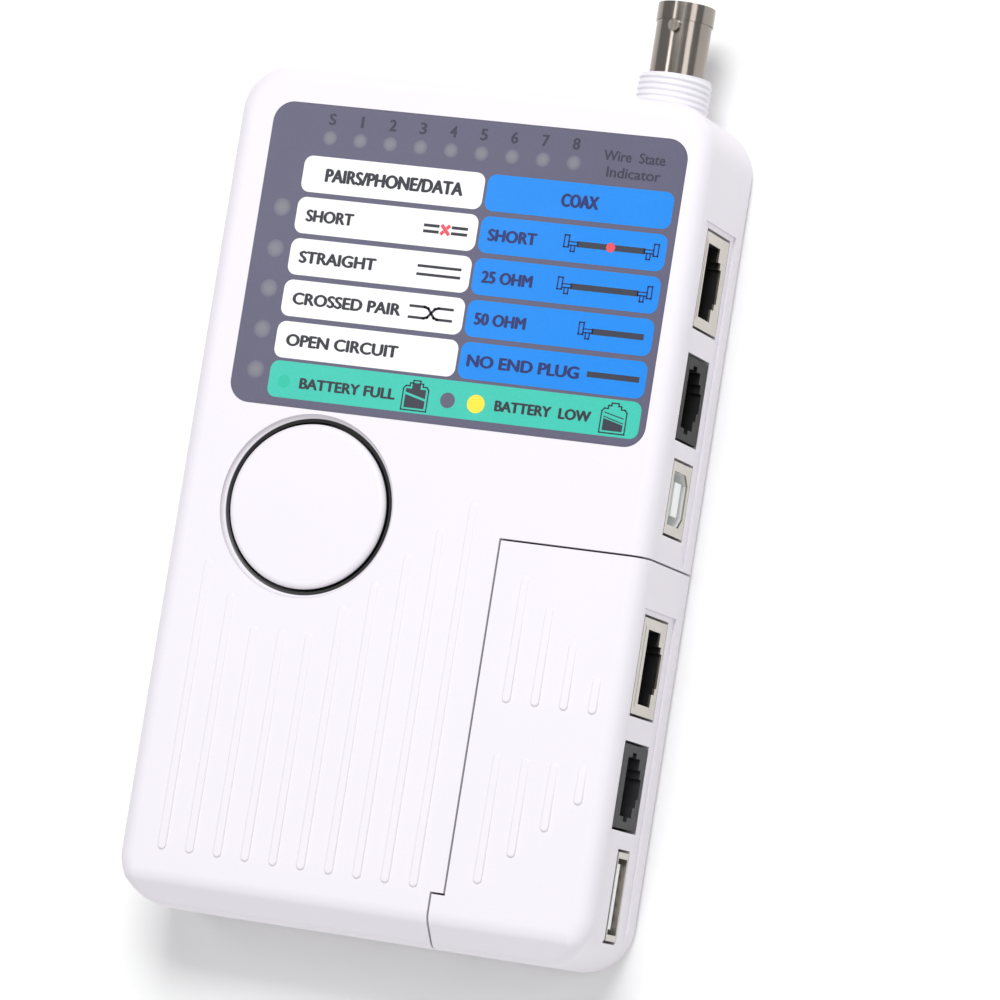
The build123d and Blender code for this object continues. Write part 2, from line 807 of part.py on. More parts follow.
remote_board -= [post(x, y, 0, front, boss_radius + tower_gap) for x, y in remote_points]
remote_screw_x = board_right - remote_screw_inset
remote_board_points = [
    (remote_screw_x, (remote_rj45_y + remote_rj11_y) / 2),
    (remote_screw_x, (usb_a_y + remote_rj11_y) / 2),
]

# Back shells: floor, walls, lip, towers, standoffs
main_hollow = cavity(main_plan(wall))
rear_shell = (main_case & half_space(0, parting_height)) - main_hollow
rear_shell += lip(main_plan, 0)
rear_shell += main_lower + standoffs(main_board_points, wall / 2, main_board_height)
rear_shell += bay_walls()
rail_low = notch_top + split_gap / 2
rail_high = remote_top - tongue_end_margin + rail_clearance
rail_x = remote_left - split_gap / 2
rear_shell += block(
    rail_x - rail_block, rail_x, rail_low, rail_high + wall,
    tongue_height - rail_block_rise, tongue_height + rail_block_rise)
rear_shell -= dovetail(rail_clearance, notch_top - notch_length, rail_high)
rear_shell -= door_prism(door_clearance)
bay_mouth = block(
    battery_x - battery[0] / 2 - battery_clearance, battery_x + battery[0] / 2 + battery_clearance,
    battery_y - battery[1] / 2 - battery_clearance, battery_y + battery[1] / 2, 0, wall + past)
rear_shell -= bay_mouth
rear_shell -= main_wells + main_port_cuts + pilot_holes(main_board_points, wall / 2, main_board_height)
save("rear_shell", rear_shell)

# Front shell: panel, label pocket, lamp holes, button hole, ribs
front_shell = (main_case & half_space(parting_height, front + past)) - main_hollow
front_shell += [tower & main_hollow for tower in main_upper]
front_shell += standoffs(display_points, display_top, front - wall / 2)
front_shell -= lip(main_plan, lip_clearance)
pocket_size = (label_width + 2 * label_clearance, label_height + 2 * label_clearance)
pocket = extrude(RectangleRounded(*pocket_size, label_corner), past)
front_shell -= Pos(label_x, label_y, front - label_thickness) * pocket
front_shell -= [post(x, y, front - wall - past, front + past, window_bore) for x, y in windows()]
front_shell += main_ribs()
front_shell -= button_opening()
front_shell -= main_pilots + main_port_cuts
display_pilot_end = display_board_height + small_screw_length + pilot_spare
front_shell -= pilot_holes(display_points, display_top, display_pilot_end)
save("front_shell", front_shell)

# Label that covers the lamps
label = Pos(label_x, label_y, front - label_thickness) * extrude(
    RectangleRounded(label_width, label_height, label_corner - label_clearance), label_thickness)
save("panel_label", label)

# Test button with its flange and centre post, and the switch below it
flange_top = front - wall - button_lift
flange_low = flange_top - button_flange_thickness
cap = post(button_x, button_y, flange_low, front, button_radius)
cap = fillet(cap.edges().group_by(Axis.Z)[-1], button_edge)
cap += post(button_x, button_y, flange_low, flange_top, button_radius + button_flange)
under = front - button_skin
cap -= post(button_x, button_y, 0, under, button_radius - button_wall)
cap += post(button_x, button_y, under - post_length, under, post_radius)
save("test_button", cap)
plunger_top = under - post_length
plunger_base = display_top + button_travel + plunger_spare
save("switch_plunger", post(button_x, button_y, plunger_base, plunger_top, plunger_radius))
half = switch_width / 2
switch_top = display_top + switch_height
switch = block(button_x - half, button_x + half, button_y - half, button_y + half, display_top, switch_top)
switch -= post(button_x, button_y, display_top + switch_floor, front, plunger_radius + plunger_clearance)
save("switch_body", switch)

# Boards and what is soldered to them
save("main_board", drilled(main_board, main_board_points))
save("display_board", drilled(display_panel, display_points))
save("main_board_screws", small_screws(main_board_points, main_board_top, False))
save("display_screws", small_screws(display_points, display_board_height, True))
lamps = []
lamp_shoulder = display_top + led_height - led_radius
for x, y in windows():
    stem = post(x, y, display_top, lamp_shoulder, led_radius)
    lamps.append(stem + Pos(x, y, lamp_shoulder) * Sphere(led_radius))
save("indicator_lamps", Compound(children=lamps))
header_x = board_left + header_from_left
header_y = (main_board_low + board_high) / 2
save("board_header", block(
    header_x, header_x + header[0], header_y - header[1] / 2, header_y + header[1] / 2,
    main_board_top, display_board_height))
chips = []
chip_x = header_x + header[0] + chip_gap
for wide, long, thick, rise in control_chips:
    y = main_board_low + rise
    chips.append(block(chip_x, chip_x + wide, y, y + long, main_board_top, main_board_top + thick))
save("control_chips", Compound(children=chips))

# Ports of the main unit
shield, insert, contacts = shielded_jack(rj45_y, main_board_top, main_roof)
save("main_rj45_shield", shield)
save("main_rj45_insert", insert)
save("main_rj45_contacts", contacts)
housing, contacts = plain_jack(rj11_y, main_board_top, main_port_lift, rj11_size[1], main_roof)
save("main_rj11_housing", housing)
save("main_rj11_contacts", contacts)
shell, insert, contacts = usb_b_jack(usb_b_y, main_board_top)
save("usb_b_shell", shell)
save("usb_b_insert", insert)
save("usb_b_contacts", contacts)

# Coaxial jack
collar, body, barrel, dielectric, contact = coaxial_jack()
save("bnc_collar", collar)
save("bnc_block", body)
save("bnc_barrel", barrel)
save("bnc_dielectric", dielectric)
save("bnc_contact", contact)

# Battery, snap plate and door
cell, studs, plate, sockets = battery_pieces()
save("battery", cell)
save("battery_studs", studs)
save("snap_plate", plate)
save("snap_sockets", sockets)
door = (main_case & half_space(0, parting_height)) & door_prism(0)
for i in range(door_grip_count):
    at = case_end + door_grip_from_end + door_grip_pitch * i
    door -= block(
        battery_x - door_grip_length / 2, battery_x + door_grip_length / 2, at, at + door_grip_width,
        -past, door_grip_depth)
save("battery_door", door)
save("case_screws", main_screws)

# Remote unit
remote_hollow = cavity(remote_plan(wall))
remote_rear = (remote_case & half_space(0, parting_height)) - remote_hollow
remote_rear += lip(remote_plan, 0)
remote_rear += remote_lower + standoffs(remote_board_points, wall / 2, remote_board_height)
remote_rear += dovetail(0, notch_top, remote_top - tongue_end_margin)
remote_rear -= remote_wells + remote_port_cuts
remote_rear -= pilot_holes(remote_board_points, wall / 2, remote_board_height)
save("remote_rear_shell", remote_rear)
remote_front = (remote_case & half_space(parting_height, front + past)) - remote_hollow
remote_front += [tower & remote_hollow for tower in remote_upper]
remote_front -= lip(remote_plan, lip_clearance)
remote_front += remote_ribs()
remote_front -= remote_pilots + remote_port_cuts
save("remote_front_shell", remote_front)
save("remote_board", drilled(remote_board, remote_board_points))
save("remote_board_screws", small_screws(remote_board_points, remote_board_top, False))
shield, insert, contacts = shielded_jack(remote_rj45_y, remote_board_top, remote_rj45_roof)
save("remote_rj45_shield", shield)
save("remote_rj45_insert", insert)
save("remote_rj45_contacts", contacts)
housing, contacts = plain_jack(remote_rj11_y, remote_board_top, 0, remote_rj11_tall, remote_rj11_roof)
save("remote_rj11_housing", housing)
save("remote_rj11_contacts", contacts)
shell, insert, contacts = usb_a_jack(usb_a_y, remote_board_top)
save("usb_a_shell", shell)
save("usb_a_insert", insert)
save("usb_a_contacts", contacts)
resistors = []
resistor_x = remote_board_left + resistor_inset
resistor_top = remote_board_top + resistor[2]
for i in range(resistor_count):
    y = remote_board_low + resistor_rise + resistor_pitch * i
    resistors.append(block(
        resistor_x, resistor_x + resistor[0], y, y + resistor[1], remote_board_top, resistor_top))
save("remote_resistors", Compound(children=resistors))
save("remote_screws", remote_screws)
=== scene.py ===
"""Looks of a network cable tester with a slide-off remote unit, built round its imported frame."""

from math import cos, pi, radians, sin

import bpy
import numpy as np
from mathutils import Matrix, Vector


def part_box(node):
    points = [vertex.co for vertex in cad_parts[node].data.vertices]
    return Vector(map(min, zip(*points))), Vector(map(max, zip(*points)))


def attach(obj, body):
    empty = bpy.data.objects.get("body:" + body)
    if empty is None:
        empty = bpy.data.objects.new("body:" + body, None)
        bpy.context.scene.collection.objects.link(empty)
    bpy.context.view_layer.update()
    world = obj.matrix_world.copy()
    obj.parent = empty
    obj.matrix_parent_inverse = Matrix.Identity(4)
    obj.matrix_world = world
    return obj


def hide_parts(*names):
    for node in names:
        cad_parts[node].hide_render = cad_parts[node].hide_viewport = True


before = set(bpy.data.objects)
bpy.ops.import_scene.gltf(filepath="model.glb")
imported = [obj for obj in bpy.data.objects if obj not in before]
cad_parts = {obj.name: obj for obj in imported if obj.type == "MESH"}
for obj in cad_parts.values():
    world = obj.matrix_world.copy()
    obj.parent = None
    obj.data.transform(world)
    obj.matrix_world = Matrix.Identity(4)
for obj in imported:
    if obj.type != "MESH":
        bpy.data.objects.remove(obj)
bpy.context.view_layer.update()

MM = 0.001
BODY = "tester"
BUTTON_FLANGE = 1.2 * MM
# Band of painted shade on the walls of the clearance round the test button: its width, how far below the
# panel it starts and ends, and the softness of its edges.
GAP_REACH = 0.7 * MM
GAP_DEPTH = 0.95 * MM
GAP_END = 4.0 * MM
GAP_EDGE = 0.1 * MM
GAP_FADE = 0.15 * MM
FLOOR = -0.2 * MM
FLOOR_REACH = 3.0


# ---------------------------------------------------------------- shader sums

class Wire:
    """A shader socket that can be used in sums, products and powers."""

    def __init__(self, finish, socket):
        self.finish = finish
        self.socket = socket

    def maths(self, operation, first, second=0.0, clamp=False):
        settings = {"operation": operation, "use_clamp": clamp}
        return self.finish.node("Math", settings, {0: first, 1: second})

    def clamped(self):
        return self.maths("ADD", self, 0.0, True)

    def size(self):
        return self.maths("ABSOLUTE", self)

    def __add__(self, other):
        return self.maths("ADD", self, other)

    def __sub__(self, other):
        return self.maths("SUBTRACT", self, other)

    def __rsub__(self, other):
        return self.maths("SUBTRACT", other, self)

    def __mul__(self, other):
        return self.maths("MULTIPLY", self, other)

    def __truediv__(self, other):
        return self.maths("DIVIDE", self, other)

    def __pow__(self, other):
        return self.maths("POWER", self, other)

    __radd__ = __add__
    __rmul__ = __mul__


class Finish:
    """One material: a principled shader and the nodes that feed it."""

    def __init__(self, name, colour, roughness, **fixed):
        self.material = bpy.data.materials.new(name)
        self.material.use_nodes = True
        self.tree = self.material.node_tree
        self.shader = self.tree.nodes["Principled BSDF"]
        self.feed("Base Color", colour + (1.0,))
        self.feed("Roughness", roughness)
        for socket, value in fixed.items():
            self.feed(socket.replace("_", " "), value)

    def node(self, kind, settings, sockets, out=0):
        """Add a node: its settings first, then the values or links of its sockets."""
        made = self.tree.nodes.new("ShaderNode" + kind)
        for name, value in settings.items():
            if name == "stops":
                self.set_stops(made.color_ramp, value)
            else:
                setattr(made, name, value)
        for name, value in sockets.items():
            self.join(made.inputs[name], value)
        return Wire(self, made.outputs[out])

    def set_stops(self, ramp, stops):
        while len(ramp.elements) < len(stops):
            ramp.elements.new(0.5)
        for element, (place, shade) in zip(ramp.elements, stops):
            element.position = place
            element.color = (shade, shade, shade, 1.0)

    def join(self, socket, value):
        if isinstance(value, Wire):
            self.tree.links.new(value.socket, socket)
        else:
            socket.default_value = value

    def feed(self, name, value):
        self.join(self.shader.inputs[name], value)

    def place(self):
        return self.node("TexCoord", {}, {}, "Object")

    def noise(self, size, detail=2.0, stretch=(1.0, 1.0, 1.0)):
        """Cloudy noise from 0 to 1 whose grains are about size metres across."""
        spot = self.node("Mapping", {}, {"Vector": self.place(), "Scale": stretch})
        return self.node("TexNoise", {}, {"Vector": spot, "Scale": 1.0 / size, "Detail": detail})

    def blend(self, factor, first, second):
        """Colour that goes from first to second as the factor goes from 0 to 1."""
        ends = [end if isinstance(end, Wire) else end + (1.0,) for end in (first, second)]
        return self.node("Mix", {"data_type": "RGBA"}, {0: factor, 6: ends[0], 7: ends[1]}, 2)

    def bump(self, height, depth):
        """Fine relief whose highest grains stand depth metres proud."""
        relief = {"Height": height, "Distance": depth, "Strength": 1.0}
        self.feed("Normal", self.node("Bump", {}, relief))


def srgb(red, green, blue):
    """Linear colour of an 8-bit screen colour."""
    shades = [c / 255 for c in (red, green, blue)]
    return tuple(((c + 0.055) / 1.055) ** 2.4 if c > 0.04045 else c / 12.92 for c in shades)


# ---------------------------------------------------------------- finishes

# Near-black colour painted as shade on the walls of the clearance round the test button.
GAP_SHADE = (0.01, 0.01, 0.011)


def button_gap(finish):
    """Mask of painted shade: 1 on the two walls of the clearance round the test button, a little way below
    the panel, and 0 elsewhere.

    It is a band of distances from the button's axis, times a band of depths."""
    low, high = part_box("test_button")
    radius = (high[0] - low[0]) / 2 - BUTTON_FLANGE
    place = finish.place()
    x, y, z = (finish.node("SeparateXYZ", {}, {0: place}, axis) for axis in "XYZ")
    away = ((x - (low[0] + high[0]) / 2) ** 2 + (y - (low[1] + high[1]) / 2) ** 2) ** 0.5
    near = ((GAP_REACH - (away - radius - GAP_REACH / 2).size()) / GAP_EDGE).clamped()
    below = ((high[2] - GAP_DEPTH - z) / GAP_FADE).clamped()
    above = ((z - high[2] + GAP_END) / GAP_FADE).clamped()
    return near * below * above


def moulded_plastic(name, colour, roughness, grain, depth, paint_ring_shade=False):
    """Moulded plastic: spark-eroded grain, faint flow marks and slightly uneven sheen. When asked, also
    painted shade, near black, on the walls of the clearance round the test button.
    """
    finish = Finish(name, colour, roughness, IOR=1.5)
    cloud = finish.noise(0.018, 3.0)
    fine = finish.noise(grain, 2.0)
    deep = tuple(c * 0.965 for c in colour)
    tone = finish.blend(cloud * 0.6 + fine * 0.4, deep, colour)
    # Painted shade: the walls of the clearance round the test button are darkened to near black.
    if paint_ring_shade:
        tone = finish.blend(button_gap(finish), tone, GAP_SHADE)
    finish.feed("Base Color", tone)
    finish.feed("Roughness", roughness - 0.05 + fine * 0.1)
    finish.bump(fine, depth)
    return finish


def film(name, colour, gloss=0.32):
    """Printed polyester film: fine ink speckle under a clear, faintly rippled skin."""
    finish = Finish(name, colour, gloss, Coat_Roughness=0.22, Specular_IOR_Level=0.3)
    speckle = finish.noise(0.00022, 1.0)
    cloud = finish.noise(0.009, 2.0)
    dark = tuple(c * 0.86 for c in colour)
    light = tuple(min(1.0, c * 1.1 + 0.004) for c in colour)
    finish.feed("Base Color", finish.blend(speckle * 0.8 + cloud * 0.2, dark, light))
    finish.feed("Roughness", gloss - 0.04 + speckle * 0.08)
    finish.feed("Coat Weight", 0.06 + cloud * 0.06)
    finish.bump(speckle * 0.3 + cloud, 0.000012)
    return finish


def plated(name, colour, roughness, lay=(1.0, 1.0, 1.0)):
    """Plated metal: fine drawn lines along the lay, with cloudy tarnish."""
    finish = Finish(name, colour, roughness, Metallic=1.0)
    lines = finish.noise(0.0004, 2.0, lay)
    cloud = finish.noise(0.004, 3.0)
    dull = tuple(c * 0.82 for c in colour)
    finish.feed("Base Color", finish.blend(cloud * 0.7 + lines * 0.3, dull, colour))
    finish.feed("Roughness", roughness - 0.05 + lines * 0.06 + cloud * 0.08)
    finish.bump(lines, 0.000006)
    return finish


def solder_mask(name):
    """Green board: mask over copper tracks, which run as faint lighter bands."""
    mask, track = srgb(24, 92, 52), srgb(48, 128, 78)
    finish = Finish(name, mask, 0.35)
    bricks = {"Vector": finish.place(), "Scale": 210.0, "Mortar Size": 0.03,
              "Color1": (0, 0, 0, 1), "Color2": (0.2, 0.2, 0.2, 1)}
    steps = finish.node("TexBrick", {"offset": 0.5}, bricks, "Fac")
    finish.feed("Base Color", finish.blend(steps, mask, track))
    finish.feed("Roughness", 0.3 + finish.noise(0.001) * 0.12)
    finish.bump(steps, 0.00003)
    return finish


def lamp_window(name):
    """Milky window in the film: palest in the middle and fading into the slate at its rim."""
    finish = Finish(name, srgb(128, 128, 140), 0.3)
    rim = finish.node("Attribute", {"attribute_name": "rim"}, {}, "Fac")
    speckle = finish.noise(0.0003, 1.0)
    fade = rim ** 2.2 + speckle * 0.25 - 0.12
    finish.feed("Base Color", finish.blend(fade, srgb(122, 122, 131), srgb(98, 96, 118)))
    finish.feed("Roughness", 0.26 + speckle * 0.08)
    finish.bump(speckle, 0.000008)
    return finish


def make_finishes():
    shell = srgb(238, 233, 240)
    return {
        # The case and the button carry the painted shade in the clearance round the test button.
        "case": moulded_plastic("white case plastic", shell, 0.42, 0.0005, 0.000014, paint_ring_shade=True),
        "button": moulded_plastic("button plastic", shell, 0.38, 0.0004, 0.000008, paint_ring_shade=True),
        "film": film("slate film", srgb(94, 92, 115)),
        "white": film("white ink", srgb(252, 252, 250)),
        "blue": film("blue ink", srgb(0, 134, 232)),
        "green": film("green ink", srgb(60, 196, 176)),
        "black": film("black ink", srgb(44, 44, 56)),
        "grey": film("dark grey ink", srgb(52, 54, 68)),
        "navy": film("navy ink", srgb(30, 40, 104)),
        "faint": film("faint black ink", srgb(58, 56, 74)),
        "red": film("red ink", srgb(226, 78, 92)),
        "yellow": film("yellow ink", srgb(255, 226, 66)),
        "teal": film("teal ink", srgb(38, 192, 164)),
        "window": lamp_window("lamp window"),
        "nickel": plated("bright nickel", srgb(156, 148, 141), 0.14, (1.0, 0.08, 1.0)),
        "shield": plated("jack shield plate", srgb(204, 199, 190), 0.3, (0.1, 1.0, 1.0)),
        "gold": plated("gold flash", srgb(226, 184, 96), 0.28),
        "steel": plated("zinc plated steel", srgb(196, 198, 204), 0.34),
        "jack": moulded_plastic("black jack plastic", srgb(10, 10, 11), 0.6, 0.0004, 0.00001),
        "charcoal": moulded_plastic("charcoal jack plastic", srgb(46, 46, 52), 0.6, 0.0004, 0.00001),
        "pale": moulded_plastic("pale insert plastic", srgb(250, 254, 254), 0.3, 0.0004, 0.000008),
        "collar": moulded_plastic("white collar plastic", srgb(236, 234, 240), 0.3, 0.0004, 0.000006),
        "board": solder_mask("green circuit board"),
        "chip": moulded_plastic("chip moulding", srgb(30, 30, 33), 0.5, 0.0002, 0.000008),
        "lens": moulded_plastic("lamp lens", srgb(206, 208, 212), 0.12, 0.002, 0.000002),
        "jacket": moulded_plastic("battery jacket", srgb(40, 52, 92), 0.3, 0.0006, 0.000006),
    }


NODE_FINISH = {
    "case": ["front_shell", "rear_shell", "remote_front_shell", "remote_rear_shell", "battery_door"],
    "button": ["test_button"],
    "film": ["panel_label"],
    "board": ["main_board", "display_board", "remote_board"],
    "chip": ["control_chips", "board_header", "switch_body", "remote_resistors", "snap_plate"],
    "pale": ["switch_plunger", "usb_a_insert", "usb_b_insert"],
    "gold": ["main_rj45_contacts", "main_rj11_contacts", "usb_b_contacts", "bnc_contact",
             "remote_rj45_contacts", "remote_rj11_contacts", "usb_a_contacts"],
    "shield": ["main_rj45_shield", "remote_rj45_shield", "usb_a_shell", "usb_b_shell"],
    "jack": ["main_rj45_insert", "main_rj11_housing", "remote_rj45_insert"],
    "charcoal": ["remote_rj11_housing"],
    "nickel": ["bnc_barrel", "battery_studs", "snap_sockets"],
    "collar": ["bnc_collar", "bnc_block", "bnc_dielectric"],
    "lens": ["indicator_lamps"],
    "jacket": ["battery"],
    "steel": ["case_screws", "remote_screws", "main_board_screws", "display_screws", "remote_board_screws"],
}


# ---------------------------------------------------------------- meshes

def piece(name, points, faces, finish, body):
    """Put computed points and faces into a mesh object that rides on a body."""
    mesh = bpy.data.meshes.new(name)
    mesh.from_pydata(np.asarray(points).tolist(), [], faces)
    mesh.update()
    made = bpy.data.objects.new(name, mesh)
    bpy.context.scene.collection.objects.link(made)
    mesh.materials.append(finish.material)
    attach(made, body)
    return made


def smooth(made):
    made.data.polygons.foreach_set("use_smooth", np.ones(len(made.data.polygons), dtype=bool))


def grid_faces(rows, columns, close_rows=False, close_columns=False):
    """Four-sided faces of a grid of points, whose ends may be joined to its beginnings."""
    i = np.arange(rows if close_rows else rows - 1)[:, None]
    j = np.arange(columns if close_columns else columns - 1)[None, :]
    down = (i + 1) % rows
    along = (j + 1) % columns
    corners = [i * columns + j, i * columns + along, down * columns + along, down * columns + j]
    return np.stack(np.broadcast_arrays(*corners), axis=-1).reshape(-1, 4).tolist()


def rounded_outline(x0, x1, y0, y1, radius, steps=8):
    """Rounded rectangle, anticlockwise: each corner is a quarter circle about a centre one radius in."""
    turn = np.linspace(0, pi / 2, steps)
    quarter = np.stack([np.cos(turn), np.sin(turn)], axis=1) * radius
    parts = []
    for k, (x, y) in enumerate(((x1 - radius, y1 - radius), (x0 + radius, y1 - radius),
                                (x0 + radius, y0 + radius), (x1 - radius, y0 + radius))):
        c, s = round(cos(k * pi / 2)), round(sin(k * pi / 2))
        parts.append(quarter @ np.array([[c, s], [-s, c]]) + (x, y))
    return np.concatenate(parts)


def disc_outline(x, y, radius, steps=40):
    """Circle as a closed outline."""
    turn = np.arange(steps) * 2 * pi / steps
    return np.stack([x + radius * np.cos(turn), y + radius * np.sin(turn)], axis=1)


def slabs(outlines, z0, z1):
    """Flat plates: each closed outline becomes a top, a bottom and the wall between them."""
    points, faces = [], []
    for outline in outlines:
        n = len(outline)
        base = sum(len(p) for p in points)
        for z in (z0, z1):
            points.append(np.column_stack([outline, np.full(n, z)]))
        k = np.arange(n)
        wall = np.stack([k, (k + 1) % n, (k + 1) % n + n, k + n], axis=1) + base
        faces += wall.tolist()
        faces.append((np.arange(n)[::-1] + base).tolist())
        faces.append((np.arange(n) + n + base).tolist())
    return np.concatenate(points), faces


def strokes(route, width):
    """Straight strokes of one width along a route: one four-cornered outline for each stretch."""
    route = np.asarray(route, dtype=float)
    start, end = route[:-1], route[1:]
    along = (end - start) / np.linalg.norm(end - start, axis=1)[:, None]
    side = np.stack([along[:, 1], -along[:, 0]], axis=1) * width / 2
    reach = along * width / 2
    corners = [start - reach + side, end + reach + side, end + reach - side, start - reach - side]
    return list(np.stack(corners, axis=1))


# ---------------------------------------------------------------- panel print

label_low, label_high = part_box("panel_label")
PANEL_X = label_low[0]
PANEL_Y = label_high[1]
PANEL_Z = label_high[2]
INK = 0.02 * MM
COPY_RISE = 0.002 * MM

# Places and sizes on the panel are millimetres right of and below its top left corner.
ROWS = 5
ROW_TOP = 8.8
ROW_PITCH = 7.08
ROW_HEIGHT = 6.2
PAIR_COLUMN = (6.85, 39.5)
COAX_COLUMN = (40.0, 72.85)
STRIP = (43.85, 50.05)
FIELD_CORNER = 1.5
WIRE_LAMPS = 9
WIRE_LAMP_X = 10.7
WIRE_LAMP_Y = 5.55
WIRE_LAMP_PITCH = 5.47
WIRE_LAMP_RADIUS = 1.25
STATE_LAMP_X = 4.1
STATE_LAMP_ROWS = (18.0, 25.1, 31.9, 38.9, 45.8)
STATE_LAMP_RADIUS = 1.55
WIRES_LEFT = 30.2
WIRES_RIGHT = 37.6
STUB_LEFT = 32.5
STUB_RIGHT = 35.2
CABLE_LEFT = 57.8
CABLE_RIGHT = 68.7
SIGN_Y = 2.35
ROW_CAP = 2.1
ROW_WEIGHT = 0.15
STRIP_CAP = 1.85
STRIP_WEIGHT = 0.13


def on_panel(outline):
    """Turn millimetres right of and below the panel's top left corner into the object's own place."""
    flat = np.asarray(outline, dtype=float)
    return np.stack([PANEL_X + flat[:, 0] * MM, PANEL_Y - flat[:, 1] * MM], axis=1)[::-1]


def printed(name, outlines, finish, layer=1):
    """A layer of ink on the film: every outline is a thin plate."""
    shapes = [on_panel(outline) for outline in outlines]
    points, faces = slabs(shapes, PANEL_Z + (layer - 1) * INK, PANEL_Z + layer * INK)
    piece(name, points, faces, finish, BODY)


def row_middle(row):
    return ROW_TOP + ROW_PITCH * row + ROW_HEIGHT / 2


HEADING, SHORT, THROUGH, CROSSED, OPEN = (row_middle(row) for row in range(ROWS))


def field(column, row):
    """Rounded field of one row in one column of the panel."""
    top = ROW_TOP + ROW_PITCH * row
    return rounded_outline(column[0], column[1], top, top + ROW_HEIGHT, FIELD_CORNER)


def lettering(words, x0, x1, middle, cap, weight):
    """Words as a mesh, stretched to run from x0 to x1 with capitals cap high about a middle line.

    A heavier stroke is the same letters printed again a step of weight to each side."""
    curve = bpy.data.curves.new("words", "FONT")
    curve.body = words
    curve.resolution_u = 4
    curve.extrude = 0.5
    made = bpy.data.objects.new("words", curve)
    bpy.context.scene.collection.objects.link(made)
    bpy.context.view_layer.update()
    mesh = bpy.data.meshes.new_from_object(made.evaluated_get(bpy.context.evaluated_depsgraph_get()))
    points = np.empty(len(mesh.vertices) * 3)
    mesh.vertices.foreach_get("co", points)
    points = points.reshape(-1, 3)
    faces = [list(p.vertices) for p in mesh.polygons]
    bpy.data.objects.remove(made)
    bpy.data.curves.remove(curve)
    bpy.data.meshes.remove(mesh)
    low, high = points.min(axis=0), points.max(axis=0)
    across = (points[:, 0] - low[0]) / (high[0] - low[0])
    up = (points[:, 1] - (low[1] + high[1]) / 2) / (high[1] - low[1])
    x = PANEL_X + (x0 + weight + across * (x1 - x0 - 2 * weight)) * MM
    y = PANEL_Y - middle * MM + up * (cap - weight) * MM
    z = PANEL_Z + INK + (points[:, 2] + 0.5) * INK
    steps = [(-1, 0), (1, 0), (0, 0), (0, -0.5), (0, 0.5)]
    copies = [np.stack([x + i * weight * MM, y + j * weight * MM, z + n * COPY_RISE], axis=1)
              for n, (i, j) in enumerate(steps)]
    sides = [[k + n * len(x) for k in side] for n in range(len(steps)) for side in faces]
    return np.concatenate(copies), sides


def words_piece(name, lines, finish):
    """All the words of one ink in one mesh."""
    points, faces = [], []
    for line in lines:
        more, sides = lettering(*line)
        base = sum(len(p) for p in points)
        points.append(more)
        faces += [[i + base for i in side] for side in sides]
    piece(name, np.concatenate(points), faces, finish, BODY)


def lamp_places():
    """Centres of the lamp windows: the row for the wires and the column for the states."""
    row = [(WIRE_LAMP_X + WIRE_LAMP_PITCH * i, WIRE_LAMP_Y) for i in range(WIRE_LAMPS)]
    column = [(STATE_LAMP_X, y) for y in STATE_LAMP_ROWS]
    return row, column


def lamp_windows(finish):
    """Low domes over the lamps: height falls with the square of the distance from the middle."""
    row, column = lamp_places()
    rings, around = 6, 32
    far = np.linspace(0.02, 1, rings)[:, None]
    turn = np.arange(around)[None, :] * 2 * pi / around
    points, faces, rims = [], [], []
    sizes = [WIRE_LAMP_RADIUS] * len(row) + [STATE_LAMP_RADIUS] * len(column)
    for (x, y), size in zip(row + column, sizes):
        base = len(points) * rings * around
        right = (x + size * far * np.cos(turn)).reshape(-1)
        down = (y - size * far * np.sin(turn)).reshape(-1)
        place = np.stack([PANEL_X + right * MM, PANEL_Y - down * MM], axis=1)
        height = PANEL_Z + 0.5 * INK * np.broadcast_to(1.2 - far ** 2, (rings, around)).reshape(-1)
        points.append(np.column_stack([place, height]))
        rims.append(np.broadcast_to(far, (rings, around)).reshape(-1))
        shell = np.array(grid_faces(rings, around, close_columns=True))[:, ::-1] + base
        faces += shell.tolist()
        faces.append((np.arange(around) + base).tolist())
    made = piece("lamp_windows", np.concatenate(points), faces, finish, BODY)
    made.data.attributes.new("rim", "FLOAT", "POINT").data.foreach_set("value", np.concatenate(rims))
    smooth(made)


def coax_plug(x, y, way):
    """Outline sign of a coaxial plug at a cable's end: a tall body, a neck and a short stem below it."""
    back, tip = x + way * 0.8, x + way * 2.4
    near, far = x + way * 1.3, x + way * 1.95
    body = [(x, y - 1.35), (back, y - 1.35), (back, y + 0.65), (x, y + 0.65), (x, y - 1.35)]
    neck = [(back, y - 0.3), (tip, y - 0.3), (tip, y + 0.3), (back, y + 0.3)]
    stem = [(near, y + 0.3), (near, y + 1.3), (far, y + 1.3), (far, y + 0.3)]
    return strokes(body, 0.24) + strokes(neck, 0.2) + strokes(stem, 0.24)


def battery_sign(x0, x1, y0, y1):
    """Outline of a battery with its terminal cap."""
    neck = (x1 - x0) * 0.24
    shoulder = y0 + 0.95
    step = y0 + 0.45
    left, right = x0 + neck, x1 - neck
    cap_left, cap_right = x0 + neck * 1.5, x1 - neck * 1.5
    route = [
        (x0, y1), (x0, shoulder + 0.5), (x0 + 0.4, shoulder), (left, shoulder), (left, step),
        (cap_left, step), (cap_left, y0), (cap_right, y0), (cap_right, step), (right, step),
        (right, shoulder), (x1 - 0.4, shoulder), (x1, shoulder + 0.5), (x1, y1), (x0, y1),
    ]
    return strokes(route, 0.22)


def wire_signs():
    """Strokes for a pair of wires: broken off at a short, straight through, and crossed over."""
    signs = []
    for y in (SHORT - 0.5, SHORT + 0.5):
        signs += strokes([(WIRES_LEFT, y), (STUB_LEFT, y)], 0.5)
        signs += strokes([(STUB_RIGHT, y), (WIRES_RIGHT, y)], 0.5)
    for y in (THROUGH - 0.7, THROUGH + 0.7):
        signs += strokes([(WIRES_LEFT, y), (WIRES_RIGHT, y)], 0.46)
    for way in (-1, 1):
        start, end = CROSSED + way * 0.95, CROSSED - way * 0.95
        signs += strokes([(29.9, start), (32.5, start), (33.1, start - way * 0.2), (34.3, end + way * 0.2),
                          (34.9, end), (37.4, end)], 0.44)
    return signs


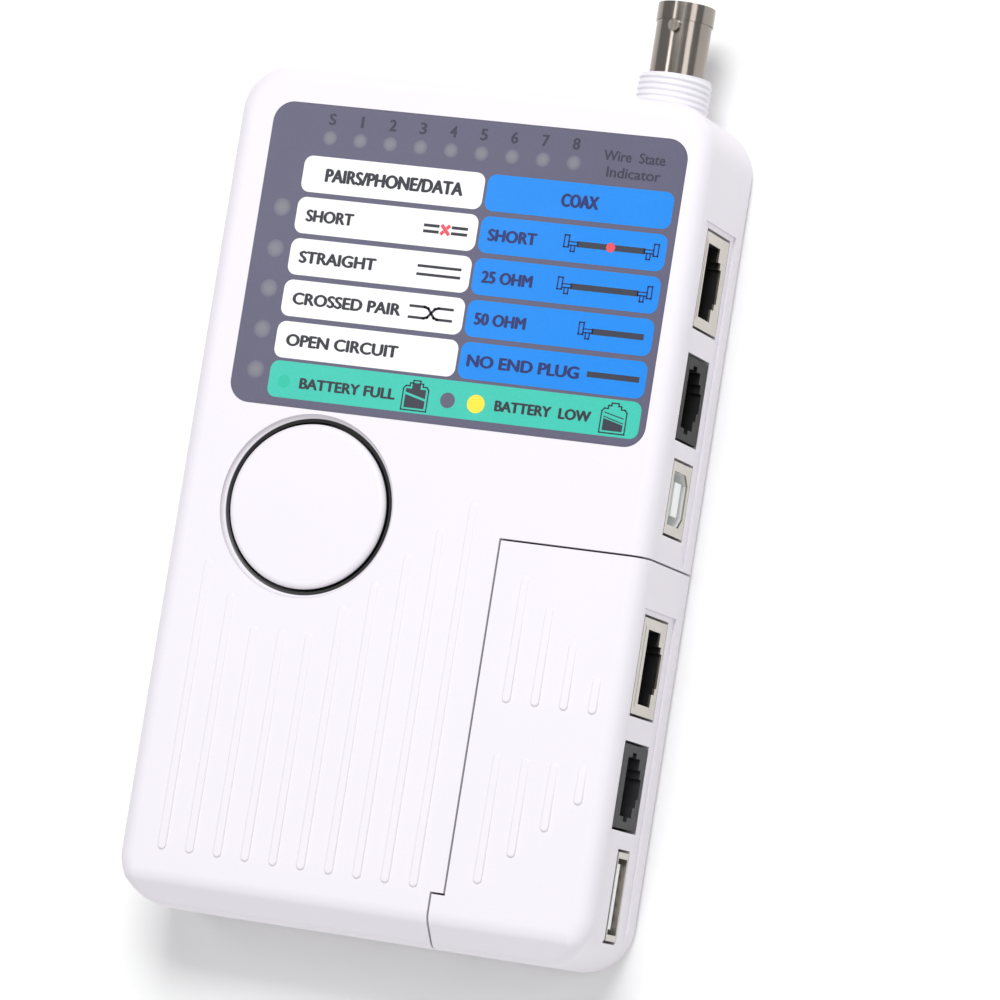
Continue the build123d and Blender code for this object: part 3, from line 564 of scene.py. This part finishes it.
def battery_signs():
    """A full battery, and a low one with two lines over what is left in it."""
    signs = battery_sign(31.0, 35.5, 44.6, 49.6) + battery_sign(66.1, 70.5, 44.5, 49.5)
    return signs + strokes([(66.6, 46.1), (70.0, 46.9)], 0.16) + strokes([(66.6, 46.8), (70.0, 47.7)], 0.16)


def battery_fills():
    """Dark areas inside the two battery signs."""
    return [
        [(31.45, 46.0), (35.05, 46.0), (35.05, 47.5), (31.45, 46.6)],
        [(31.45, 47.0), (35.05, 47.9), (35.05, 49.2), (31.45, 49.2)],
        [(32.5, 45.0), (34.0, 45.0), (34.0, 46.0), (32.5, 46.0)],
        [(66.55, 47.1), (70.05, 48.0), (70.05, 49.1), (66.55, 49.1)],
    ]


def cable_signs():
    """One thick stroke for the cable in each coaxial row."""
    cables = [
        (CABLE_LEFT, CABLE_RIGHT, SHORT, 1.0),
        (CABLE_LEFT, CABLE_RIGHT, THROUGH, 1.0),
        (62.7, 70.8, CROSSED, 1.0),
        (63.0, 71.2, OPEN, 0.95),
    ]
    return [strokes([(x0, y), (x1, y)], width)[0] for x0, x1, y, width in cables]


def plug_signs():
    """Coaxial plugs at both ends of two cables and at one end of the third."""
    plugs = []
    for y in (SHORT, THROUGH):
        plugs += coax_plug(55.0, y, 1) + coax_plug(71.5, y, -1)
    return plugs + coax_plug(59.9, CROSSED, 1)


def short_cross():
    """Cross over a short: one whole arm and two half arms that stop at its sides."""
    cross = strokes([(33.3, SHORT - 0.6), (34.4, SHORT + 0.6)], 0.6)
    cross += strokes([(33.3, SHORT + 0.6), (33.42, SHORT + 0.47)], 0.6)
    return cross + strokes([(34.28, SHORT - 0.47), (34.4, SHORT - 0.6)], 0.6)


def print_fields(inks):
    """Coloured fields that the words stand on."""
    printed("print_white_fields", [field(PAIR_COLUMN, row) for row in range(ROWS)], inks["white"])
    printed("print_blue_fields", [field(COAX_COLUMN, row) for row in range(ROWS)], inks["blue"])
    strip = rounded_outline(PAIR_COLUMN[0] - 0.1, COAX_COLUMN[1] + 0.05, *STRIP, FIELD_CORNER)
    printed("print_green_strip", [strip], inks["green"])


def print_signs(inks):
    """Signs and spots printed over the fields."""
    printed("print_black_marks", wire_signs() + battery_signs(), inks["black"], 2)
    printed("print_grey_marks", battery_fills() + cable_signs(), inks["grey"], 2)
    printed("print_plug_signs", plug_signs(), inks["navy"], 2)
    printed("print_red_cross", short_cross(), inks["red"], 2)
    printed("print_red_spot", [disc_outline(63.2, SHORT, 0.8)], inks["red"], 3)
    printed("print_teal_spot", [disc_outline(9.5, 47.25, 1.1)], inks["teal"], 2)
    printed("print_yellow_spot", [disc_outline(44.1, 47.3, 1.55)], inks["yellow"], 2)
    printed("power_lamp_window", [disc_outline(39.05, 47.25, 1.3)], inks["film"], 2)


def print_words(inks):
    """The words: each line's text, left and right ends, middle line, height of capitals and weight."""
    words_piece("print_black_words", [
        ("PAIRS/PHONE/DATA", 10.95, 35.9, HEADING, 2.35, 0.17),
        ("SHORT", 8.65, 17.35, SHORT, ROW_CAP, ROW_WEIGHT),
        ("STRAIGHT", 8.6, 22.6, THROUGH, ROW_CAP, ROW_WEIGHT),
        ("CROSSED PAIR", 8.65, 28.3, CROSSED, ROW_CAP, ROW_WEIGHT),
        ("OPEN CIRCUIT", 8.7, 29.0, OPEN, ROW_CAP, ROW_WEIGHT),
        ("BATTERY FULL", 12.35, 29.7, 47.3, STRIP_CAP, STRIP_WEIGHT),
        ("BATTERY  LOW", 47.4, 64.4, 47.2, STRIP_CAP, STRIP_WEIGHT),
    ], inks["black"])
    words_piece("print_navy_words", [
        ("COAX", 53.3, 60.0, HEADING, 2.3, 0.17),
        ("SHORT", 41.45, 50.2, SHORT, ROW_CAP, ROW_WEIGHT),
        ("25 OHM", 41.5, 50.6, THROUGH, ROW_CAP, ROW_WEIGHT),
        ("50 OHM", 41.4, 50.6, CROSSED, ROW_CAP, ROW_WEIGHT),
        ("NO END PLUG", 41.3, 61.2, OPEN, ROW_CAP, ROW_WEIGHT),
    ], inks["navy"])
    row, _ = lamp_places()
    signs = ["S"] + [str(n) for n in range(1, WIRE_LAMPS)]
    faint = [(sign, x - 0.65, x + 0.65, SIGN_Y, 2.0, 0.09) for sign, (x, _) in zip(signs, row)]
    faint[1] = ("1", row[1][0] - 0.3, row[1][0] + 0.2, SIGN_Y, 2.0, 0.09)
    faint += [("Wire  State", 59.5, 70.3, 3.7, 1.75, 0.05), ("Indicator", 60.4, 69.9, 6.45, 1.75, 0.05)]
    words_piece("print_faint_words", faint, inks["faint"])


# ---------------------------------------------------------------- coaxial collar

def threaded_collar(finish):
    """Screwed collar: radius is the root plus a rounded crest that moves one pitch along for each turn.

    The thread leaves a plain length at the case and a lip at the open end. It runs in and out of its
    full height."""
    low, high = (np.array(corner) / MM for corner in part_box("bnc_collar"))
    x, z = (low[0] + high[0]) / 2, (low[2] + high[2]) / 2
    bore, root, crest, pitch = 4.7, 5.95, 6.22, 1.0
    plain, run_in, run_out, lip = 2.4, 0.4, 0.5, 0.1
    around, along = 96, 90
    turn = (np.arange(around) / around)[:, None]
    angle = 2 * pi * turn
    y = np.linspace(low[1], high[1], along)[None, :]
    wave = 0.5 - 0.5 * np.cos(2 * pi * ((y - turn) / pitch))
    cut = np.clip((high[1] - lip - y) / run_out, 0, 1) * np.clip((y - low[1] - plain) / run_in, 0, 1)
    outer = root + (crest - root) * np.clip(wave * 1.5 - 0.2, 0, 1) * cut
    edge = np.full((around, 1), bore)
    reach = np.concatenate([edge, outer, edge], axis=1)
    places = np.concatenate([y[:, :1], y, y[:, -1:]], axis=1) + np.zeros((around, 1))
    points = np.stack([x + reach * np.cos(angle), places, z + reach * np.sin(angle)], axis=-1)
    faces = grid_faces(around, along + 2, close_rows=True, close_columns=True)
    made = piece("collar_thread", points.reshape(-1, 3) * MM, faces, finish, BODY)
    smooth(made)
    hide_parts("bnc_collar")


# ---------------------------------------------------------------- studio

LIGHTS = [
    # name, place, size and power
    ("top light", (0.1, 0.62, 1.0), 0.5, 9.8),
    ("side light", (0.74, 0.17, 0.64), 0.34, 0.8),
    ("left light", (-0.4, 0.17, 0.86), 0.18, 0.5),
    ("foot light", (0.0, -0.85, 0.5), 0.4, 2.2),
]
SKY_COLOUR = (0.98, 0.99, 1.0, 1.0)
SKY_STRENGTH = 0.38


def pale_floor():
    """Square floor just under the case's back."""
    reach = FLOOR_REACH
    corners = [(-reach, -reach, FLOOR), (reach, -reach, FLOOR), (reach, reach, FLOOR), (-reach, reach, FLOOR)]
    mesh = bpy.data.meshes.new("floor")
    mesh.from_pydata(corners, [], [(0, 1, 2, 3)])
    floor = bpy.data.objects.new("floor", mesh)
    bpy.context.scene.collection.objects.link(floor)
    ground = Finish("pale floor", (0.96, 0.96, 0.96), 0.6)
    ground.feed("Roughness", 0.55 + ground.noise(0.05) * 0.1)
    mesh.materials.append(ground.material)


def studio():
    """Pale floor and surroundings, with soft lights from above, from both sides and from the lower end."""
    pale_floor()
    world = bpy.data.worlds.new("studio")
    world.use_nodes = True
    sky = world.node_tree.nodes["Background"].inputs
    sky["Color"].default_value = SKY_COLOUR
    sky["Strength"].default_value = SKY_STRENGTH
    bpy.context.scene.world = world
    for name, place, size, power in LIGHTS:
        lamp = bpy.data.lights.new(name, "AREA")
        lamp.size = size
        lamp.energy = power
        made = bpy.data.objects.new(name, lamp)
        made.location = place
        made.rotation_euler = Vector(place).to_track_quat("Z", "Y").to_euler()
        bpy.context.scene.collection.objects.link(made)
    bpy.context.scene.view_settings.view_transform = "Standard"


def camera():
    """Camera high over the right wall, turned so that the case stands nearly upright in the picture."""
    azimuth, elevation, roll, distance = radians(75.40), radians(68.93), radians(-67.30), 0.9152
    target = Vector((0.01556, -0.00645, PANEL_Z))
    level = Vector((sin(azimuth), -cos(azimuth), 0.0))
    back = level * cos(elevation) + Vector((0, 0, sin(elevation)))
    right = Vector((cos(azimuth), sin(azimuth), 0.0))
    up = back.cross(right)
    turned = right * cos(roll) + up * sin(roll)
    upright = back.cross(turned)
    lens = bpy.data.cameras.new("camera")
    lens.lens = 200.3
    lens.sensor_width = 36.0
    lens.clip_start = 0.01
    made = bpy.data.objects.new("camera", lens)
    pose = Matrix((turned, upright, back)).transposed().to_4x4()
    pose.translation = target + back * distance
    made.matrix_world = pose
    bpy.context.scene.collection.objects.link(made)
    bpy.context.scene.camera = made


# ---------------------------------------------------------------- put together

finishes = make_finishes()
for kind, nodes in NODE_FINISH.items():
    for node in nodes:
        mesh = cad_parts[node].data
        mesh.materials.clear()
        mesh.materials.append(finishes[kind].material)
camera()
studio()
print_fields(finishes)
print_signs(finishes)
lamp_windows(finishes["window"])
print_words(finishes)
threaded_collar(finishes["collar"])
